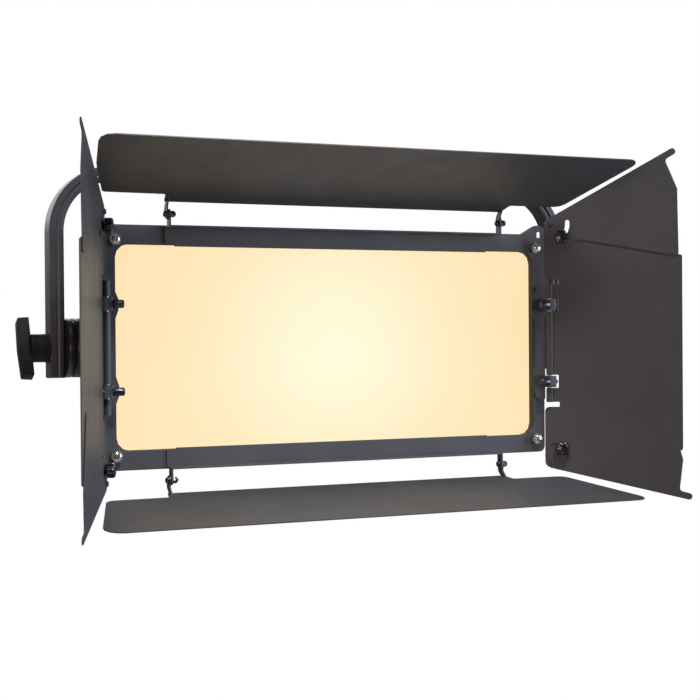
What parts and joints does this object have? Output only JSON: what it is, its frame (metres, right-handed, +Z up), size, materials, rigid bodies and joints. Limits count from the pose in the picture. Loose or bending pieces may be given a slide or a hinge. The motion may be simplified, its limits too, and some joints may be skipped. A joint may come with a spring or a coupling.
{
  "type": "led panel light",
  "caption": "Rectangular soft LED panel with hinged barn doors and swivelling corner leaves, tilting in a U-shaped yoke with T-handle locks.",
  "frame": {"origin": "middle of the yoke crossbar's top face, where the hanging bolt goes", "axes": "+Z up, -Y the way the light shines, +X to the right when the light is seen from the front"},
  "size_m": [0.9031, 0.3239, 0.492],
  "materials": {
    "door_black": "satin",
    "frame_black": "satin",
    "housing_black": "satin",
    "yoke_grey": "satin",
    "knob_black": "gloss",
    "grip_black": "matte",
    "nickel": "polished",
    "steel": "satin",
    "aluminium": "satin",
    "opal": "matte",
    "white": "satin",
    "board_green": "satin",
    "screen": "gloss"
  },
  "bodies": {
    "yoke": {"yoke": "yoke_grey", "tilt_disc_left": "grip_black", "tilt_disc_right": "grip_black"},
    "head": {"housing": "housing_black", "front_bezel": "housing_black", "diffuser": "opal", "light_chamber": "white", "led_board": "white", "heat_sink": "aluminium", "rear_cover": "housing_black", "power_supply": "aluminium", "driver_board": "board_green", "fan_frame": "knob_black", "control_panel": "frame_black", "control_board": "board_green", "display": "screen", "power_inlet": "knob_black", "power_outlet": "knob_black", "data_inlet": "knob_black", "data_outlet": "knob_black", "barn_frame": "frame_black", "tilt_hub_left": "housing_black", "tilt_hub_right": "housing_black", "hinge_bracket_top": "frame_black", "hinge_bracket_bottom": "frame_black", "hinge_bracket_left": "frame_black", "hinge_bracket_right": "frame_black", "hinge_bolt_top_left": "steel", "hinge_bolt_top_right": "steel", "hinge_bolt_bottom_left": "steel", "hinge_bolt_bottom_right": "steel"},
    "tilt_handle_left": {"tilt_handle_left": "grip_black"},
    "tilt_handle_right": {"tilt_handle_right": "grip_black"},
    "top_door": {"top_door": "door_black"},
    "bottom_door": {"bottom_door": "door_black"},
    "left_door": {"left_door": "door_black", "hinge_rod_left": "steel"},
    "leaf_left_upper": {"leaf_left_upper": "door_black"},
    "leaf_knob_left_upper": {"leaf_knob_left_upper": "knob_black"},
    "leaf_left_lower": {"leaf_left_lower": "door_black"},
    "leaf_knob_left_lower": {"leaf_knob_left_lower": "knob_black"},
    "right_door": {"right_door": "door_black", "hinge_rod_right": "steel"},
    "leaf_right_upper": {"leaf_right_upper": "door_black"},
    "leaf_knob_right_upper": {"leaf_knob_right_upper": "knob_black"},
    "leaf_right_lower": {"leaf_right_lower": "door_black"},
    "leaf_knob_right_lower": {"leaf_knob_right_lower": "knob_black"},
    "thumbscrew_top_left": {"thumbscrew_top_left": "nickel"},
    "thumbscrew_top_right": {"thumbscrew_top_right": "nickel"},
    "thumbscrew_bottom_left": {"thumbscrew_bottom_left": "nickel"},
    "thumbscrew_bottom_right": {"thumbscrew_bottom_right": "nickel"},
    "fan_rotor": {"fan_rotor": "knob_black"},
    "dial": {"dial": "knob_black"},
    "button_menu": {"button_menu": "knob_black"},
    "button_up": {"button_up": "knob_black"},
    "button_down": {"button_down": "knob_black"},
    "button_enter": {"button_enter": "knob_black"}
  },
  "joints": [
    {"name": "tilt", "type": "hinge", "parent": "yoke", "child": "head", "pos_m": [0, 0, -0.232], "axis": [1, 0, 0], "range_deg": [-18, 90]},
    {"name": "tilt_handle_left_turn", "type": "hinge", "parent": "yoke", "child": "tilt_handle_left", "pos_m": [-0.39, 0, -0.232], "axis": [1, 0, 0], "continuous": true},
    {"name": "tilt_handle_right_turn", "type": "hinge", "parent": "yoke", "child": "tilt_handle_right", "pos_m": [0.39, 0, -0.232], "axis": [1, 0, 0], "continuous": true},
    {"name": "top_door_swing", "type": "hinge", "parent": "head", "child": "top_door", "pos_m": [0, -0.072, -0.065], "axis": [-1, 0, 0], "range_deg": [-45, 65]},
    {"name": "bottom_door_swing", "type": "hinge", "parent": "head", "child": "bottom_door", "pos_m": [0, -0.072, -0.399], "axis": [1, 0, 0], "range_deg": [-32, 78]},
    {"name": "left_door_swing", "type": "hinge", "parent": "head", "child": "left_door", "pos_m": [-0.318, -0.072, -0.232], "axis": [0, 0, -1], "range_deg": [0, 72]},
    {"name": "leaf_left_upper_swivel", "type": "hinge", "parent": "left_door", "child": "leaf_left_upper", "pos_m": [-0.3213, -0.0739, -0.0645], "axis": [-0.9272, 0.3746, 0], "range_deg": [-25, 19]},
    {"name": "leaf_knob_left_upper_turn", "type": "hinge", "parent": "left_door", "child": "leaf_knob_left_upper", "pos_m": [-0.32435, -0.08773, -0.08303], "axis": [0.9272, -0.3746, 0], "continuous": true},
    {"name": "leaf_left_lower_swivel", "type": "hinge", "parent": "left_door", "child": "leaf_left_lower", "pos_m": [-0.3213, -0.0739, -0.3995], "axis": [0.9272, -0.3746, 0], "range_deg": [-12, 32]},
    {"name": "leaf_knob_left_lower_turn", "type": "hinge", "parent": "left_door", "child": "leaf_knob_left_lower", "pos_m": [-0.32435, -0.08773, -0.38097], "axis": [0.9272, -0.3746, 0], "continuous": true},
    {"name": "right_door_swing", "type": "hinge", "parent": "head", "child": "right_door", "pos_m": [0.318, -0.072, -0.232], "axis": [0, 0, 1], "range_deg": [-36, 34]},
    {"name": "leaf_right_upper_swivel", "type": "hinge", "parent": "right_door", "child": "leaf_right_upper", "pos_m": [0.32177, -0.07147, -0.0645], "axis": [-0.5, -0.866, 0], "range_deg": [-30, 15]},
    {"name": "leaf_knob_right_upper_turn", "type": "hinge", "parent": "right_door", "child": "leaf_knob_right_upper", "pos_m": [0.33269, -0.08048, -0.08303], "axis": [-0.5, -0.866, 0], "continuous": true},
    {"name": "leaf_right_lower_swivel", "type": "hinge", "parent": "right_door", "child": "leaf_right_lower", "pos_m": [0.32177, -0.07147, -0.3995], "axis": [0.5, 0.866, 0], "range_deg": [-13, 31]},
    {"name": "leaf_knob_right_lower_turn", "type": "hinge", "parent": "right_door", "child": "leaf_knob_right_lower", "pos_m": [0.33269, -0.08048, -0.38097], "axis": [-0.5, -0.866, 0], "continuous": true},
    {"name": "thumbscrew_top_left_turn", "type": "hinge", "parent": "head", "child": "thumbscrew_top_left", "pos_m": [-0.3035, -0.055, -0.097], "axis": [0, -1, 0], "continuous": true},
    {"name": "thumbscrew_top_right_turn", "type": "hinge", "parent": "head", "child": "thumbscrew_top_right", "pos_m": [0.3035, -0.055, -0.097], "axis": [0, -1, 0], "continuous": true},
    {"name": "thumbscrew_bottom_left_turn", "type": "hinge", "parent": "head", "child": "thumbscrew_bottom_left", "pos_m": [-0.3035, -0.055, -0.367], "axis": [0, -1, 0], "continuous": true},
    {"name": "thumbscrew_bottom_right_turn", "type": "hinge", "parent": "head", "child": "thumbscrew_bottom_right", "pos_m": [0.3035, -0.055, -0.367], "axis": [0, -1, 0], "continuous": true},
    {"name": "fan_spin", "type": "hinge", "parent": "head", "child": "fan_rotor", "pos_m": [0, 0.035, -0.157], "axis": [0, 1, 0], "continuous": true},
    {"name": "dial_turn", "type": "hinge", "parent": "head", "child": "dial", "pos_m": [0.054, 0.06, -0.329], "axis": [0, 1, 0], "continuous": true},
    {"name": "button_menu_press", "type": "slide", "parent": "head", "child": "button_menu", "axis": [0, -1, 0], "range_m": [0, 0.0012], "stiffness_N_per_m": 300, "springref_m": -0.0008},
    {"name": "button_up_press", "type": "slide", "parent": "head", "child": "button_up", "axis": [0, -1, 0], "range_m": [0, 0.0012], "stiffness_N_per_m": 300, "springref_m": -0.0008},
    {"name": "button_down_press", "type": "slide", "parent": "head", "child": "button_down", "axis": [0, -1, 0], "range_m": [0, 0.0012], "stiffness_N_per_m": 300, "springref_m": -0.0008},
    {"name": "button_enter_press", "type": "slide", "parent": "head", "child": "button_enter", "axis": [0, -1, 0], "range_m": [0, 0.0012], "stiffness_N_per_m": 300, "springref_m": -0.0008}
  ]
}
